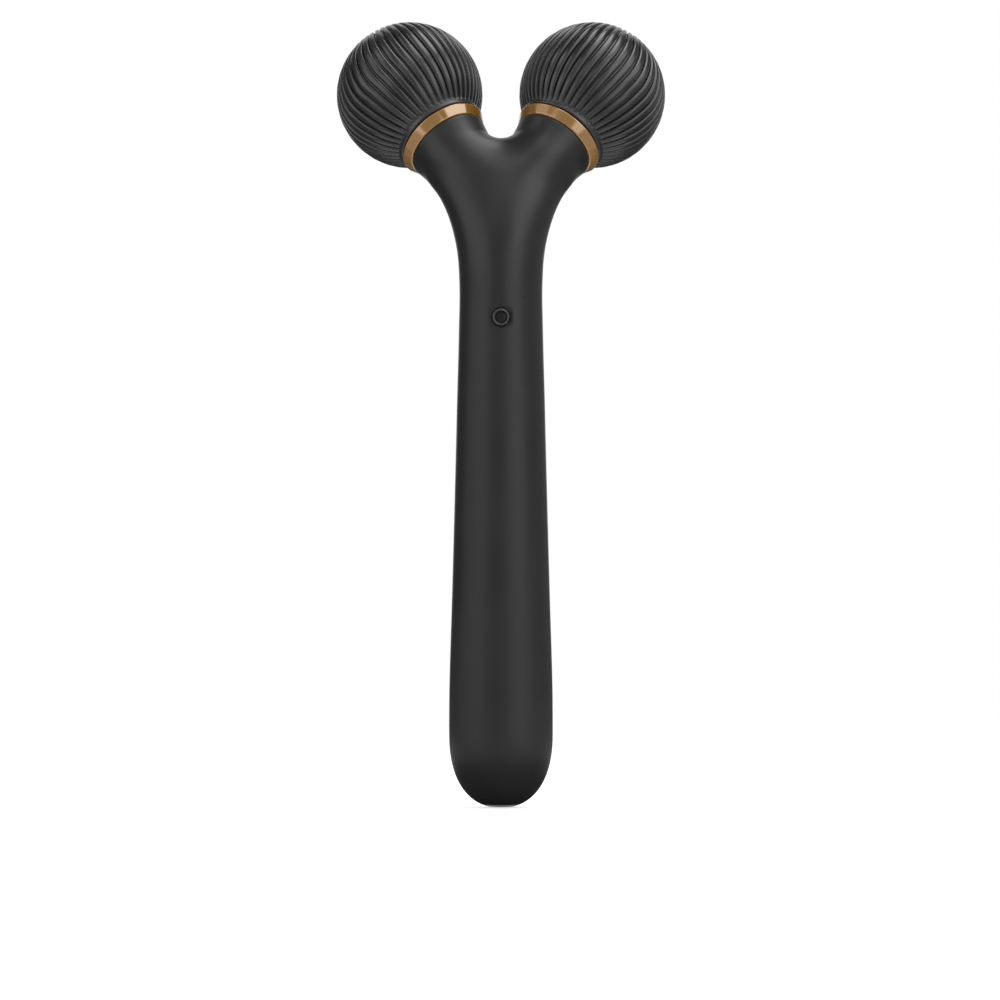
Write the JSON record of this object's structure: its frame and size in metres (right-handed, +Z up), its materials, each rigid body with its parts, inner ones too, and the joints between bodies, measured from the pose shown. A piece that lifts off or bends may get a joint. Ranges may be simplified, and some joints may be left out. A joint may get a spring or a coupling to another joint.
{
  "type": "sonic facial roller",
  "caption": "Battery facial roller with a Y-shaped matt black handle, a push button, gold collars on leaning arms and freely turning ribbed balls.",
  "frame": {"origin": "middle of the small flat on the butt end of the handle", "axes": "+Z up the handle towards the balls, -Y out of the button, +Y the way the arms lean"},
  "size_m": [0.07, 0.0434, 0.1664],
  "materials": {
    "case_black": "fine satin, soft-touch black",
    "inner_plastic": "moulded grey",
    "cell_wrap": "blue shrink wrap over a steel can",
    "steel": "ground",
    "lead_insulation": "red insulation",
    "board_green": "green solder mask",
    "chip_black": "moulded black",
    "lens_smoke": "smoked",
    "button_black": "satin black",
    "soft_rubber": "soft black",
    "rim_black": "smooth black",
    "gold_plate": "polished pale gold plating",
    "brass_weight": "turned",
    "cast_frame": "die cast",
    "bearing_plastic": "natural white",
    "ball_black": "satin black with fine ribs"
  },
  "bodies": {
    "handle": {"front_shell": "case_black", "rear_shell": "case_black", "chassis": "inner_plastic", "battery_cell": "cell_wrap", "battery_tabs": "steel", "battery_leads": "lead_insulation", "main_board": "board_green", "board_components": "chip_black", "status_leds": "lens_smoke", "switch_body": "chip_black", "button_seal": "soft_rubber", "charge_port": "rim_black", "charge_pins": "gold_plate", "charge_magnets": "steel", "charge_leads": "lead_insulation", "motor_can": "steel", "motor_sleeve": "soft_rubber", "motor_leads": "lead_insulation", "axle_yoke": "cast_frame", "yoke_screws": "steel", "chassis_screws": "steel", "left_arm_plug": "rim_black", "left_collar_ring": "gold_plate", "left_axle": "steel", "left_thrust_washer": "bearing_plastic", "left_retaining_clip": "steel", "right_arm_plug": "rim_black", "right_collar_ring": "gold_plate", "right_axle": "steel", "right_thrust_washer": "bearing_plastic", "right_retaining_clip": "steel"},
    "left_ball": {"left_ball_skin": "ball_black", "left_ball_core": "inner_plastic", "left_ball_core_cap": "inner_plastic", "left_ball_base_cap": "rim_black", "left_inner_bush": "bearing_plastic", "left_outer_bush": "bearing_plastic"},
    "right_ball": {"right_ball_skin": "ball_black", "right_ball_core": "inner_plastic", "right_ball_core_cap": "inner_plastic", "right_ball_base_cap": "rim_black", "right_inner_bush": "bearing_plastic", "right_outer_bush": "bearing_plastic"},
    "button": {"button_cap": "button_black", "button_lens": "lens_smoke", "switch_plunger": "inner_plastic"},
    "motor_rotor": {"motor_shaft": "steel", "motor_weight": "brass_weight"}
  },
  "joints": [
    {"name": "left_ball_spin", "type": "hinge", "parent": "handle", "child": "left_ball", "pos_m": [-0.01948, 0.01881, 0.15084], "axis": [-0.518, 0.5004, 0.6938], "continuous": true},
    {"name": "right_ball_spin", "type": "hinge", "parent": "handle", "child": "right_ball", "pos_m": [0.01948, 0.01881, 0.15084], "axis": [0.518, 0.5004, 0.6938], "continuous": true},
    {"name": "button_press", "type": "slide", "parent": "handle", "child": "button", "axis": [0, 1, 0], "range_m": [0, 0.0004], "stiffness_N_per_m": 600},
    {"name": "motor_spin", "type": "hinge", "parent": "handle", "child": "motor_rotor", "pos_m": [0, 0.0005, 0.122], "axis": [0, 0, 1], "continuous": true}
  ]
}
